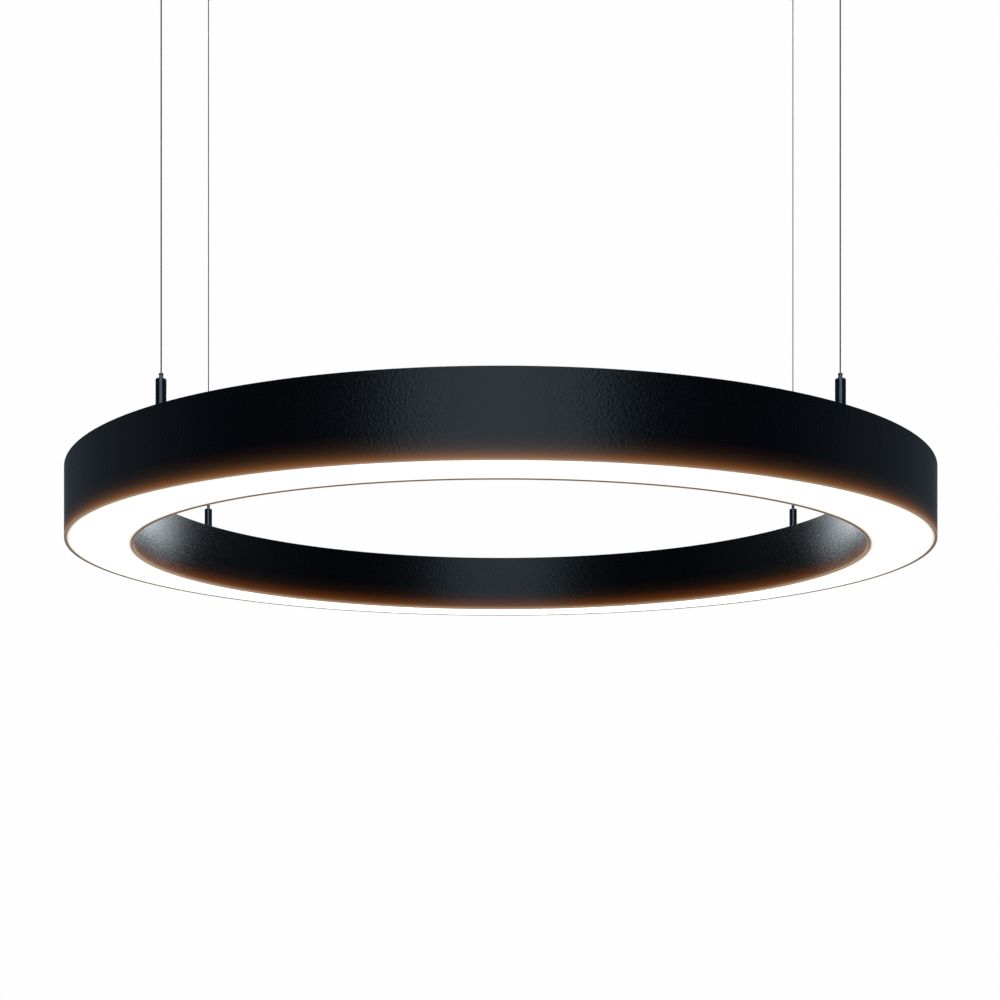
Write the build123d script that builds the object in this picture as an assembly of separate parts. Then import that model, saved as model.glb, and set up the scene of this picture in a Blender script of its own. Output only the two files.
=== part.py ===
from build123d import *
from math import asin, cos, degrees, floor, radians, sin, sqrt
import os

# LED ring chandelier: a rolled aluminium ring, dark outside and glowing underneath, that hangs
# level on four thin steel wires. Millimetres. The origin lies on the ring's axis in the plane
# of the ceiling, +Z is up, and the ring is seen from the -Y side.

os.makedirs("parts", exist_ok=True)

# Ring: an H-shaped extrusion rolled to a circle. The upper channel holds the electrics under
# screwed covers, and the lower one is the light chamber behind the opal diffuser.
RING_OUTER_R = 450.0
RING_WIDTH = 66.0
RING_HEIGHT = 70.5
RING_DROP = 700.0        # from the ceiling down to the ring's top edge
WALL_T = 1.5
WEB_T = 2.5
CHAMBER_DEPTH = 34.0     # from the ring's lower edge up to the web
LEDGE_W = 4.0            # inward ledges that the covers lie on and the bridges hook under
LEDGE_T = 2.0
GROOVE_RISE = 3.0        # from the lower edges up to the grooves that the diffuser snaps into
GROOVE_H = 1.2
GROOVE_DEPTH = 0.5

# Diffuser: one opal channel with upright legs.
DIFFUSER_T = 2.0
DIFFUSER_LEG_T = 1.5
DIFFUSER_LEG_H = 6.0
DIFFUSER_RECESS = 0.5    # from the walls' lower edges up to the glowing face

# Covers: four long ones and a short connection cover, butted over seam bars.
COVER_T = 2.0
SEAM_GAP = 0.4
HATCH_ANGLE = 16.0       # arc of the connection cover, centred on the rear
FRONT_SEAM = -90.0
REAR_SEAM = 90.0

# Hangers: two pairs, the same distance from the axis, mirrored left and right.
HANGER_OFFSET = 8.0      # outwards from the middle of the channel
FRONT_HANGER_ANGLE = -47.1
REAR_HANGER_ANGLE = 31.1

# Bridges and seam bars: steel bars across the channel, hooked under the ledges.
BRIDGE_T = 3.0
BRIDGE_WIDTH = 24.0
SEAM_BAR_WIDTH = 20.0
BOSS_R = 9.0

# Cable gripper: barrel with a hollow stud, a three-jaw taper, a spring and a release plunger.
BARREL_R = 4.75
BARREL_H = 32.0
CONE_TOP_R = 2.6         # the cone that closes the barrel's top end
CONE_H = 1.5
STUD_R = 4.0
STUD_END = 2.2           # stud that stands out below the nut
NUT_T = 5.0
NUT_FLATS = 13.0
PLUNGER_HEAD_R = 2.1
PLUNGER_HEAD_H = 1.8
PLUNGER_STEM_R = 1.7
PLUNGER_FOOT_T = 1.0
RELEASE_TRAVEL = 1.5     # how far a press moves the plunger and the jaws
PRESS_GAP = 0.2          # left between the cone and the pressed head
TAPER_TOP_R = 2.45
TAPER_LOW_R = 3.2
TAPER_TOP = 22.0         # heights in the barrel, from its shoulder on the cover
TAPER_LOW = 12.0
SPRING_FLOOR = 4.0
SPRING_WIRE = 0.5
JAW_SLOT = 0.5

# Suspension wire and its ceiling fitting.
WIRE_R = 0.6
WIRE_BORE_R = 1.2
WIRE_TAIL = 14.0         # wire below the stud
FERRULE_R = 2.5
FERRULE_L = 9.0
CAP_R = 11.0
CAP_L = 25.0
CAP_FLOOR = 5.0
CAP_WIRE_HOLE_R = 1.0
CAP_CHAMFER = 1.0
BASE_FLANGE_T = 3.0
SPIGOT_R = 8.2
SPIGOT_L = 6.0
SCREW_HOLE_R = 2.3

# Electrics in the upper channel, and the light source under the web.
DRIVER_L = 280.0
DRIVER_W = 30.0
DRIVER_H = 21.0
DRIVER_TAB_L = 8.0
DRIVER_TAB_T = 2.0
DRIVER_TAB_HOLE_R = 2.0
DRIVER_WALL_GAP = 3.0
TERMINAL_L = 44.0
TERMINAL_W = 18.0
TERMINAL_H = 16.0
POLES = 3
CLAMP_L = 10.0
LEAD_W = 5.0
LEAD_T = 2.5
LEAD_OFFSET = 3.0        # outwards from the middle of the channel
LEAD_BEND_R = 3.0
LEAD_HOLE_R = 4.0
BOARDS = 16
BOARD_GAP = 12.7
BOARD_W = 24.0
BOARD_T = 1.6
STRIP_W = 4.0
STRIP_T = 0.8
STRIP_INSET = 2.0

# Cable inlet: a rubber grommet in the connection cover.
INLET_R = 3.75
GROMMET_SEAT_R = 5.5
GROMMET_FLANGE_R = 8.0
GROMMET_FLANGE_T = 1.6
GROMMET_BEVEL = 0.8

# Seam screws.
SCREW_R = 1.45
SCREW_L = 9.0
SCREW_TOP_R = 3.0
SCREW_TOP_H = 1.6

# Clearances.
SEAT_GAP = 0.3           # covers, bridges and diffuser between the walls
RUNNING_GAP = 0.05       # plunger in its guide, jaws in their taper
BARB_GAP = 0.1           # the diffuser's barbs in their grooves, above and below
THREAD_GAP = 0.1         # threads drawn as plain cylinders
BOLT_GAP = 0.2           # stud and screws through their holes
WIRE_GAP = 0.05          # jaws and ferrule round the wire

# Places worked out from the sizes above.
RING_TOP_Z = -RING_DROP
RING_LOW_Z = RING_TOP_Z - RING_HEIGHT
CHANNEL_OUTER_R = RING_OUTER_R - WALL_T
RING_INNER_R = RING_OUTER_R - RING_WIDTH
CHANNEL_INNER_R = RING_INNER_R + WALL_T
CHANNEL_MID_R = (CHANNEL_OUTER_R + CHANNEL_INNER_R) / 2
GROOVE_LOW_Z = RING_LOW_Z + GROOVE_RISE
GROOVE_TOP_Z = GROOVE_LOW_Z + GROOVE_H
WEB_LOW_Z = RING_LOW_Z + CHAMBER_DEPTH
WEB_TOP_Z = WEB_LOW_Z + WEB_T
LEDGE_TOP_Z = RING_TOP_Z - COVER_T
LEDGE_LOW_Z = LEDGE_TOP_Z - LEDGE_T
HANGER_R = CHANNEL_MID_R + HANGER_OFFSET
NUT_LOW = -COVER_T - LEDGE_T - BRIDGE_T - NUT_T
STUD_LOW = NUT_LOW - STUD_END
GUIDE_R = PLUNGER_STEM_R + RUNNING_GAP
FERRULE_LOW_Z = -BASE_FLANGE_T - CAP_L + CAP_FLOOR
WIRE_TOP_Z = FERRULE_LOW_Z + FERRULE_L
WIRE_LOW_Z = RING_TOP_Z + STUD_LOW - WIRE_TAIL
DRIVER_R = sqrt((CHANNEL_OUTER_R - DRIVER_WALL_GAP) ** 2 - (DRIVER_L / 2) ** 2) - DRIVER_W / 2
DRIVER_ANGLE = (FRONT_HANGER_ANGLE + REAR_HANGER_ANGLE) / 2
LEAD_R = CHANNEL_MID_R + LEAD_OFFSET
BOARD_PITCH = 360.0 / BOARDS
BOARD_L = 2 * CHANNEL_MID_R * sin(radians(BOARD_PITCH / 2)) - BOARD_GAP

HANGERS = {
    "front_right": FRONT_HANGER_ANGLE,
    "rear_right": REAR_HANGER_ANGLE,
    "rear_left": 180.0 - REAR_HANGER_ANGLE,
    "front_left": 180.0 - FRONT_HANGER_ANGLE,
}
HATCH_START = REAR_SEAM - HATCH_ANGLE / 2
HATCH_END = REAR_SEAM + HATCH_ANGLE / 2
COVER_ARCS = {
    "front_right": (FRONT_SEAM, DRIVER_ANGLE),
    "rear_right": (DRIVER_ANGLE, HATCH_START),
    "rear_left": (HATCH_END, 180.0 - DRIVER_ANGLE),
    "front_left": (180.0 - DRIVER_ANGLE, FRONT_SEAM + 360.0),
}
SEAMS = (FRONT_SEAM, DRIVER_ANGLE, HATCH_START, HATCH_END, 180.0 - DRIVER_ANGLE)
DRIVERS = {"right": DRIVER_ANGLE, "left": 180.0 - DRIVER_ANGLE}


def save(name, *solids):
    """Write one sub-part; several solids make one group of like pieces."""
    shape = solids[0] if len(solids) == 1 else Compound(children=list(solids))
    export_step(shape, f"parts/{name}.step")


def at_angle(radius, angle, z):
    """A place on the ring: its X points outwards, its Y runs along the ring."""
    return Pos(radius * cos(radians(angle)), radius * sin(radians(angle)), z) * Rot(Z=angle)


def turned(outline, arc=360.0, start=0.0):
    """Turn a closed (radius, height) outline about the vertical axis."""
    section = make_face(Plane.XZ * Polyline(*outline, close=True))
    return Rot(Z=start) * revolve(section, Axis.Z, arc)


def ring_band(inner, outer, low, high, arc=360.0, start=0.0):
    """A flat or upright band of the ring with a rectangular section."""
    return turned([(inner, low), (outer, low), (outer, high), (inner, high)], arc, start)


def lead_hole_angles():
    """The first gap between boards past each driver's front end, mirrored left and right."""
    driver_end = DRIVER_ANGLE - degrees(asin(DRIVER_L / 2 / CHANNEL_MID_R))
    limit = driver_end - degrees(2 * LEAD_HOLE_R / CHANNEL_MID_R)
    right = (floor(limit / BOARD_PITCH - 0.5) + 0.5) * BOARD_PITCH
    return {"right": right, "left": 180.0 - right}


def housing():
    """The H profile with cover ledges above the web and snap grooves near the lower edges."""
    web_top = [(CHANNEL_OUTER_R, WEB_TOP_Z), (CHANNEL_INNER_R, WEB_TOP_Z)]
    inner_upper = [
        (CHANNEL_INNER_R, LEDGE_LOW_Z),
        (CHANNEL_INNER_R + LEDGE_W, LEDGE_LOW_Z),
        (CHANNEL_INNER_R + LEDGE_W, LEDGE_TOP_Z),
        (CHANNEL_INNER_R, LEDGE_TOP_Z),
        (CHANNEL_INNER_R, RING_TOP_Z),
        (RING_INNER_R, RING_TOP_Z),
    ]
    inner_lower = [
        (RING_INNER_R, RING_LOW_Z),
        (CHANNEL_INNER_R, RING_LOW_Z),
        (CHANNEL_INNER_R, GROOVE_LOW_Z),
        (CHANNEL_INNER_R - GROOVE_DEPTH, GROOVE_LOW_Z),
        (CHANNEL_INNER_R - GROOVE_DEPTH, GROOVE_TOP_Z),
        (CHANNEL_INNER_R, GROOVE_TOP_Z),
    ]
    web_low = [(CHANNEL_INNER_R, WEB_LOW_Z), (CHANNEL_OUTER_R, WEB_LOW_Z)]
    outer_lower = [
        (CHANNEL_OUTER_R, GROOVE_TOP_Z),
        (CHANNEL_OUTER_R + GROOVE_DEPTH, GROOVE_TOP_Z),
        (CHANNEL_OUTER_R + GROOVE_DEPTH, GROOVE_LOW_Z),
        (CHANNEL_OUTER_R, GROOVE_LOW_Z),
        (CHANNEL_OUTER_R, RING_LOW_Z),
        (RING_OUTER_R, RING_LOW_Z),
    ]
    outer_upper = [
        (RING_OUTER_R, RING_TOP_Z),
        (CHANNEL_OUTER_R, RING_TOP_Z),
        (CHANNEL_OUTER_R, LEDGE_TOP_Z),
        (CHANNEL_OUTER_R - LEDGE_W, LEDGE_TOP_Z),
        (CHANNEL_OUTER_R - LEDGE_W, LEDGE_LOW_Z),
        (CHANNEL_OUTER_R, LEDGE_LOW_Z),
    ]
    body = turned(web_top + inner_upper + inner_lower + web_low + outer_lower + outer_upper)
    for angle in lead_hole_angles().values():
        middle = at_angle(CHANNEL_MID_R, angle, (WEB_LOW_Z + WEB_TOP_Z) / 2)
        body -= middle * Cylinder(LEAD_HOLE_R, 2 * WEB_T)
    return body


def diffuser():
    """The opal channel: a flat face, and a leg up each wall with a barb in the wall's groove."""
    inner = CHANNEL_INNER_R + SEAT_GAP
    outer = CHANNEL_OUTER_R - SEAT_GAP
    barb = SEAT_GAP + GROOVE_DEPTH - RUNNING_GAP
    barb_low = GROOVE_LOW_Z + BARB_GAP
    barb_top = GROOVE_TOP_Z - BARB_GAP
    low = RING_LOW_Z + DIFFUSER_RECESS
    return turned([
        (inner, low),
        (outer, low),
        (outer, barb_low),
        (outer + barb, barb_low),
        (outer, barb_top),
        (outer, low + DIFFUSER_LEG_H),
        (outer - DIFFUSER_LEG_T, low + DIFFUSER_LEG_H),
        (outer - DIFFUSER_LEG_T, low + DIFFUSER_T),
        (inner + DIFFUSER_LEG_T, low + DIFFUSER_T),
        (inner + DIFFUSER_LEG_T, low + DIFFUSER_LEG_H),
        (inner, low + DIFFUSER_LEG_H),
        (inner, barb_top),
        (inner - barb, barb_low),
        (inner, barb_low),
    ])


def cover(start, end):
    """An arc of the channel's lid between two seams, notched round the seam screws."""
    inset = degrees(SEAM_GAP / 2 / CHANNEL_MID_R)
    lid = ring_band(
        CHANNEL_INNER_R + SEAT_GAP,
        CHANNEL_OUTER_R - SEAT_GAP,
        LEDGE_TOP_Z,
        RING_TOP_Z,
        end - start - 2 * inset,
        start + inset,
    )
    for angle in (start, end):
        notch = at_angle(CHANNEL_MID_R, angle, RING_TOP_Z - COVER_T / 2)
        lid -= notch * Cylinder(SCREW_R + BOLT_GAP, 2 * COVER_T)
    return lid


def hanger_cover(name):
    """A long cover with the hole for its hanger's stud."""
    hole = at_angle(HANGER_R, HANGERS[name], RING_TOP_Z - COVER_T / 2)
    return cover(*COVER_ARCS[name]) - hole * Cylinder(STUD_R + BOLT_GAP, 2 * COVER_T)


def connection_cover():
    """The short rear cover, with the seat of the cable grommet."""
    seat = at_angle(CHANNEL_MID_R, REAR_SEAM, RING_TOP_Z - COVER_T / 2)
    return cover(HATCH_START, HATCH_END) - seat * Cylinder(GROMMET_SEAT_R, 2 * COVER_T)


def grommet():
    """The rubber ring that the supply cord enters through, grooved over the cover's edge."""
    return at_angle(CHANNEL_MID_R, REAR_SEAM, RING_TOP_Z) * turned([
        (INLET_R, -COVER_T - GROMMET_FLANGE_T),
        (GROMMET_FLANGE_R, -COVER_T - GROMMET_FLANGE_T),
        (GROMMET_FLANGE_R, -COVER_T),
        (GROMMET_SEAT_R, -COVER_T),
        (GROMMET_SEAT_R, 0),
        (GROMMET_FLANGE_R, 0),
        (GROMMET_FLANGE_R - GROMMET_BEVEL, GROMMET_FLANGE_T),
        (INLET_R, GROMMET_FLANGE_T),
    ])


def cross_bar(width):
    """A flat bar across the channel, pulled up against both ledges. Drawn at angle 0."""
    length = CHANNEL_OUTER_R - CHANNEL_INNER_R - 2 * SEAT_GAP
    return Pos(CHANNEL_MID_R, 0, LEDGE_LOW_Z - BRIDGE_T / 2) * Box(length, width, BRIDGE_T)


def seam_bar(angle):
    """The bar under a seam, with the screw's thread drawn as a plain hole."""
    hole = Pos(CHANNEL_MID_R, 0, LEDGE_LOW_Z) * Cylinder(SCREW_R + RUNNING_GAP, 4 * BRIDGE_T)
    return Rot(Z=angle) * (cross_bar(SEAM_BAR_WIDTH) - hole)


def bridge(angle):
    """The bar that carries a hanger, with a boss up to the cover that the nut clamps against."""
    boss = Pos(HANGER_R, 0, LEDGE_LOW_Z + LEDGE_T / 2) * Cylinder(BOSS_R, LEDGE_T)
    hole = Pos(HANGER_R, 0, LEDGE_LOW_Z) * Cylinder(STUD_R + BOLT_GAP, 4 * BRIDGE_T)
    return Rot(Z=angle) * (cross_bar(BRIDGE_WIDTH) + boss - hole)


def seam_screw(angle):
    """A pan-head screw between two cover ends, down into the seam bar."""
    head = Pos(0, 0, SCREW_TOP_H / 2) * Cylinder(SCREW_TOP_R, SCREW_TOP_H)
    shank = Pos(0, 0, -SCREW_L / 2) * Cylinder(SCREW_R, SCREW_L)
    return at_angle(CHANNEL_MID_R, angle, RING_TOP_Z) * (head + shank)


def barrel():
    """The gripper's body: guide, taper, spring chamber and hollow stud. Z 0 is its shoulder."""
    return turned([
        (WIRE_BORE_R, STUD_LOW),
        (STUD_R, STUD_LOW),
        (STUD_R, 0),
        (BARREL_R, 0),
        (BARREL_R, BARREL_H),
        (CONE_TOP_R, BARREL_H + CONE_H),
        (GUIDE_R, BARREL_H + CONE_H),
        (GUIDE_R, TAPER_TOP),
        (TAPER_TOP_R, TAPER_TOP),
        (TAPER_LOW_R, TAPER_LOW),
        (TAPER_LOW_R, SPRING_FLOOR),
        (WIRE_BORE_R, SPRING_FLOOR),
    ])


def taper_radius(height):
    """The taper's radius at a height in the barrel."""
    share = (height - TAPER_LOW) / (TAPER_TOP - TAPER_LOW)
    return TAPER_LOW_R + share * (TAPER_TOP_R - TAPER_LOW_R)


def plunger():
    """The release tube round the wire: a head to press outside, a foot under the guide inside."""
    head_low = BARREL_H + CONE_H + PRESS_GAP + RELEASE_TRAVEL
    foot_top = TAPER_TOP - RUNNING_GAP
    foot_r = TAPER_TOP_R - 2 * RUNNING_GAP
    bore = WIRE_R + BOLT_GAP
    return turned([
        (bore, foot_top - PLUNGER_FOOT_T),
        (foot_r, foot_top - PLUNGER_FOOT_T),
        (foot_r, foot_top),
        (PLUNGER_STEM_R, foot_top),
        (PLUNGER_STEM_R, head_low),
        (PLUNGER_HEAD_R, head_low),
        (PLUNGER_HEAD_R, head_low + PLUNGER_HEAD_H),
        (bore, head_low + PLUNGER_HEAD_H),
    ])


def jaws():
    """Three tapered jaws round the wire, cut from one cone by three slots."""
    top = TAPER_TOP - RUNNING_GAP - PLUNGER_FOOT_T
    low = TAPER_LOW
    cone = turned([
        (WIRE_R + WIRE_GAP, low),
        (taper_radius(low) - RUNNING_GAP, low),
        (taper_radius(top) - RUNNING_GAP, top),
        (WIRE_R + WIRE_GAP, top),
    ])
    slot = Pos(TAPER_LOW_R / 2, 0, (top + low) / 2) * Box(TAPER_LOW_R, JAW_SLOT, 2 * (top - low))
    for turn in range(3):
        cone -= Rot(Z=120.0 * turn) * slot
    return cone.solids()


def spring():
    """The gripper's spring between its floor and the jaws, drawn as a plain sleeve."""
    outer = TAPER_LOW_R - 2 * RUNNING_GAP
    return turned([
        (outer - SPRING_WIRE, SPRING_FLOOR),
        (outer, SPRING_FLOOR),
        (outer, TAPER_LOW),
        (outer - SPRING_WIRE, TAPER_LOW),
    ])


def nut():
    """The thin nut under a bridge."""
    blank = extrude(RegularPolygon(NUT_FLATS / 2, 6, major_radius=False), NUT_T)
    return Pos(0, 0, NUT_LOW) * (blank - Cylinder(STUD_R + THREAD_GAP, 4 * NUT_T))


def ceiling_base():
    """The flange and spigot screwed to the ceiling."""
    spigot_low = -BASE_FLANGE_T - SPIGOT_L
    return turned([
        (SCREW_HOLE_R, 0),
        (SCREW_HOLE_R, spigot_low),
        (SPIGOT_R, spigot_low),
        (SPIGOT_R, -BASE_FLANGE_T),
        (CAP_R, -BASE_FLANGE_T),
        (CAP_R, 0),
    ])


def ceiling_cap():
    """The cap screwed over the spigot, with the wire's hole in its floor."""
    low = -BASE_FLANGE_T - CAP_L
    return turned([
        (SPIGOT_R + THREAD_GAP, -BASE_FLANGE_T),
        (SPIGOT_R + THREAD_GAP, low + CAP_FLOOR),
        (CAP_WIRE_HOLE_R, low + CAP_FLOOR),
        (CAP_WIRE_HOLE_R, low),
        (CAP_R - CAP_CHAMFER, low),
        (CAP_R, low + CAP_CHAMFER),
        (CAP_R, -BASE_FLANGE_T),
    ])


def ferrule():
    """The crimped stop on the wire's upper end, resting on the cap's floor."""
    return ring_band(WIRE_R + WIRE_GAP, FERRULE_R, FERRULE_LOW_Z, WIRE_TOP_Z)


def wire():
    """The suspension wire, from its ferrule down through the gripper to its short tail."""
    length = WIRE_TOP_Z - WIRE_LOW_Z
    return Pos(0, 0, WIRE_TOP_Z - length / 2) * Cylinder(WIRE_R, length)


def driver():
    """A slim driver lying on the web, with a screw tab at each end. Drawn at angle 0."""
    body = Pos(DRIVER_R, 0, WEB_TOP_Z + DRIVER_H / 2) * Box(DRIVER_W, DRIVER_L, DRIVER_H)
    for side in (-1, 1):
        middle = side * (DRIVER_L + DRIVER_TAB_L) / 2
        tab = Pos(DRIVER_R + DRIVER_W / 4, middle, WEB_TOP_Z + DRIVER_TAB_T / 2)
        body += tab * Box(DRIVER_W / 2, DRIVER_TAB_L, DRIVER_TAB_T)
        body -= tab * Cylinder(DRIVER_TAB_HOLE_R, 2 * DRIVER_TAB_T)
    return body


def terminal_block():
    """The block under the grommet, with one raised clamp for each pole."""
    base = Box(TERMINAL_W, TERMINAL_L, TERMINAL_H / 2)
    pitch = TERMINAL_L / POLES
    clamp = Box(TERMINAL_W / 2, CLAMP_L, TERMINAL_H / 2)
    for pole in range(POLES):
        base += Pos(0, (pole - (POLES - 1) / 2) * pitch, TERMINAL_H / 2) * clamp
    return at_angle(CHANNEL_MID_R, REAR_SEAM, WEB_TOP_Z + TERMINAL_H / 4) * base


def supply_lead(side):
    """The flat lead along the web from the terminal block to one driver."""
    middle = DRIVERS[side]
    start, arc = (middle, REAR_SEAM - middle) if side == "right" else (REAR_SEAM, middle - REAR_SEAM)
    run = ring_band(
        LEAD_R - LEAD_W / 2, LEAD_R + LEAD_W / 2, WEB_TOP_Z, WEB_TOP_Z + LEAD_T, arc, start
    )
    driver_box = Pos(DRIVER_R, 0, WEB_TOP_Z) * Box(2 * DRIVER_W, DRIVER_L, DRIVER_H)
    block_box = at_angle(CHANNEL_MID_R, REAR_SEAM, WEB_TOP_Z)
    run -= Rot(Z=middle) * driver_box
    return run - block_box * Box(2 * TERMINAL_W, TERMINAL_L, 2 * TERMINAL_H)


def light_lead(side):
    """The flat lead from a driver, down through the web, onto the end of the nearest board."""
    angle = lead_hole_angles()[side]
    toward = 1 if side == "right" else -1
    high = WEB_TOP_Z + LEAD_T / 2
    low = WEB_LOW_Z - BOARD_T - LEAD_T / 2
    reach = (BOARD_GAP + STRIP_INSET) / 2
    points = [(toward * DRIVER_L / 3, high), (0, high), (0, low), (toward * reach, low)]
    side_plane = Plane(origin=(0, 0, 0), x_dir=(0, 1, 0), z_dir=(1, 0, 0))
    path = side_plane * FilletPolyline(*points, radius=LEAD_BEND_R)
    section = Plane(origin=path @ 0, z_dir=path % 0) * Rectangle(LEAD_T, LEAD_W)
    run = at_angle(CHANNEL_MID_R, angle, 0) * sweep(section, path=path)
    driver_box = Pos(DRIVER_R, 0, WEB_TOP_Z) * Box(2 * DRIVER_W, DRIVER_L, DRIVER_H)
    return run - Rot(Z=DRIVERS[side]) * driver_box


def boards():
    """The straight light boards under the web, one chord each."""
    blank = Box(BOARD_W, BOARD_L, BOARD_T)
    middle = WEB_LOW_Z - BOARD_T / 2
    return [at_angle(CHANNEL_MID_R, BOARD_PITCH * k, middle) * blank for k in range(BOARDS)]


def strips():
    """The line of light chips on each board."""
    blank = Box(STRIP_W, BOARD_L - 2 * STRIP_INSET, STRIP_T)
    middle = WEB_LOW_Z - BOARD_T - STRIP_T / 2
    return [at_angle(CHANNEL_MID_R, BOARD_PITCH * k, middle) * blank for k in range(BOARDS)]


# The ring's own pieces.
save("housing", housing())
save("diffuser", diffuser())
for name in COVER_ARCS:
    save(f"cover_{name}", hanger_cover(name))
save("connection_cover", connection_cover())
save("cable_grommet", grommet())
save("seam_bars", *[seam_bar(angle) for angle in SEAMS])
save("seam_screws", *[seam_screw(angle) for angle in SEAMS])
save("terminal_block", terminal_block())
save("led_boards", *boards())
save("led_strips", *strips())
for side, angle in DRIVERS.items():
    save(f"driver_{side}", Rot(Z=angle) * driver())
    save(f"supply_lead_{side}", supply_lead(side))
    save(f"light_lead_{side}", light_lead(side))

# The four hangers: bridge and gripper on the ring, wire and fitting on the ceiling.
for name, angle in HANGERS.items():
    on_ring = at_angle(HANGER_R, angle, RING_TOP_Z)
    on_ceiling = at_angle(HANGER_R, angle, 0)
    save(f"bridge_{name}", bridge(angle))
    save(f"gripper_barrel_{name}", on_ring * barrel())
    save(f"release_plunger_{name}", on_ring * plunger())
    save(f"grip_jaws_{name}", *[on_ring * jaw for jaw in jaws()])
    save(f"grip_spring_{name}", on_ring * spring())
    save(f"suspension_wire_{name}", on_ceiling * wire())
    save(f"ceiling_base_{name}", on_ceiling * ceiling_base())
    save(f"ceiling_cap_{name}", on_ceiling * ceiling_cap())
save("gripper_nuts", *[at_angle(HANGER_R, angle, RING_TOP_Z) * nut() for angle in HANGERS.values()])
save("wire_ferrules", *[at_angle(HANGER_R, angle, 0) * ferrule() for angle in HANGERS.values()])
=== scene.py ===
from math import atan2, cos, pi, radians, sin, tau

import bpy
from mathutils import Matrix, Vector


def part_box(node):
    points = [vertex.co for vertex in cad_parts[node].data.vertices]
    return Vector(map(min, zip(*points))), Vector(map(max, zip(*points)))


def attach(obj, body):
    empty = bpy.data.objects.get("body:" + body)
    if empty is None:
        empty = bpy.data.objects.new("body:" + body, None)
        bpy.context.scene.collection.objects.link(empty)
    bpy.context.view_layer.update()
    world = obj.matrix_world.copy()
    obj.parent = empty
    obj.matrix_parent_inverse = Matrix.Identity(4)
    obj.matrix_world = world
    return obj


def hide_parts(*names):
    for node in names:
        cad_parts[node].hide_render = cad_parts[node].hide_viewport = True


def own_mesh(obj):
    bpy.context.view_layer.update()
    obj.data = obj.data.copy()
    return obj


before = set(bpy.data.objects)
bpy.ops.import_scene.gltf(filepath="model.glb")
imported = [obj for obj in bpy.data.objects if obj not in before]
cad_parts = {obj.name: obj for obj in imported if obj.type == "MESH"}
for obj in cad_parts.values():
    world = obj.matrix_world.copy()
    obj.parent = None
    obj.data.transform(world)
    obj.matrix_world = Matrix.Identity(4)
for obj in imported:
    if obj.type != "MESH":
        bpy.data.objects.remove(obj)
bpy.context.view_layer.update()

# Camera. It stands level in front of the lamp and below it, and looks along +Y. The photograph's
# upright walls stay parallel, so its frame is shifted up instead of the camera being tilted.
PHOTO_PX = 1000
FOCAL_PX = 1349.7
HORIZON_PX = 791.08
RING_MIDDLE_PX = 500.72
SENSOR_MM = 36.0
CAMERA_PLACE = (0.0, -1.4614, -1.0190)
camera_data = bpy.data.cameras.new("camera")
camera_data.sensor_width = SENSOR_MM
camera_data.lens = SENSOR_MM * FOCAL_PX / PHOTO_PX
camera_data.shift_x = (PHOTO_PX / 2 - RING_MIDDLE_PX) / PHOTO_PX
camera_data.shift_y = (HORIZON_PX - PHOTO_PX / 2) / PHOTO_PX
camera = bpy.data.objects.new("camera", camera_data)
camera.location = CAMERA_PLACE
camera.rotation_euler = (pi / 2, 0.0, 0.0)
bpy.context.scene.collection.objects.link(camera)
bpy.context.scene.camera = camera

# Ceiling bases. Turned brass, dark nickel plated: a flange that lies flat against the ceiling with one
# screw through its middle, and a threaded spigot that the cap screws onto.
HANGERS = ("front_right", "rear_right", "rear_left", "front_left")
TURNED_STEPS = 96
MERGE_WITHIN = 0.000002
FLANGE_R = 0.011
FLANGE_T = 0.003
SPIGOT_R = 0.0082
SPIGOT_LOW = -0.009
SPIGOT_PITCH = 0.001
SCREW_HOLE_R = 0.0023
BROKEN_EDGE = 0.0003
GLOSS_SPREAD = 0.12
TOOL_MARK_DEPTH = 0.00001


def threaded(radius, low, high, pitch):
    """The zigzag outline of a thread, drawn as ridges from its lower end up."""
    root_r = radius - pitch / 3
    points = []
    for turn in range(int((high - low) / pitch)):
        points.append((root_r, low + turn * pitch))
        points.append((radius, low + (turn + 0.5) * pitch))
    return tuple(points)


BASE_OUTLINE = (
    (SCREW_HOLE_R, SPIGOT_LOW),
    (SPIGOT_R - 2 * BROKEN_EDGE, SPIGOT_LOW),
    *threaded(SPIGOT_R, SPIGOT_LOW + BROKEN_EDGE, -FLANGE_T - BROKEN_EDGE, SPIGOT_PITCH),
    (SPIGOT_R - 2 * BROKEN_EDGE, -FLANGE_T),
    (FLANGE_R - BROKEN_EDGE, -FLANGE_T),
    (FLANGE_R, -FLANGE_T + BROKEN_EDGE),
    (FLANGE_R, -BROKEN_EDGE),
    (FLANGE_R - BROKEN_EDGE, 0.0),
    (SCREW_HOLE_R, 0.0),
)


class Signal:
    """A socket of a finish's nodes. Sums written with it add the Math nodes that work them out."""

    def __init__(self, finish, socket):
        self.finish = finish
        self.socket = socket

    def worked_out(self, operation, *values):
        return self.finish.node("ShaderNodeMath", {"operation": operation}, dict(enumerate(values)))

    def __add__(self, other):
        return self.worked_out("ADD", self, other)

    def __radd__(self, other):
        return self.worked_out("ADD", other, self)

    def __sub__(self, other):
        return self.worked_out("SUBTRACT", self, other)

    def __rsub__(self, other):
        return self.worked_out("SUBTRACT", other, self)

    def __mul__(self, other):
        return self.worked_out("MULTIPLY", self, other)

    def __rmul__(self, other):
        return self.worked_out("MULTIPLY", other, self)

    def __truediv__(self, other):
        return self.worked_out("DIVIDE", self, other)

    def __rtruediv__(self, other):
        return self.worked_out("DIVIDE", other, self)

    def __lt__(self, other):
        return self.worked_out("LESS_THAN", self, other)

    def __gt__(self, other):
        return self.worked_out("GREATER_THAN", self, other)


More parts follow.
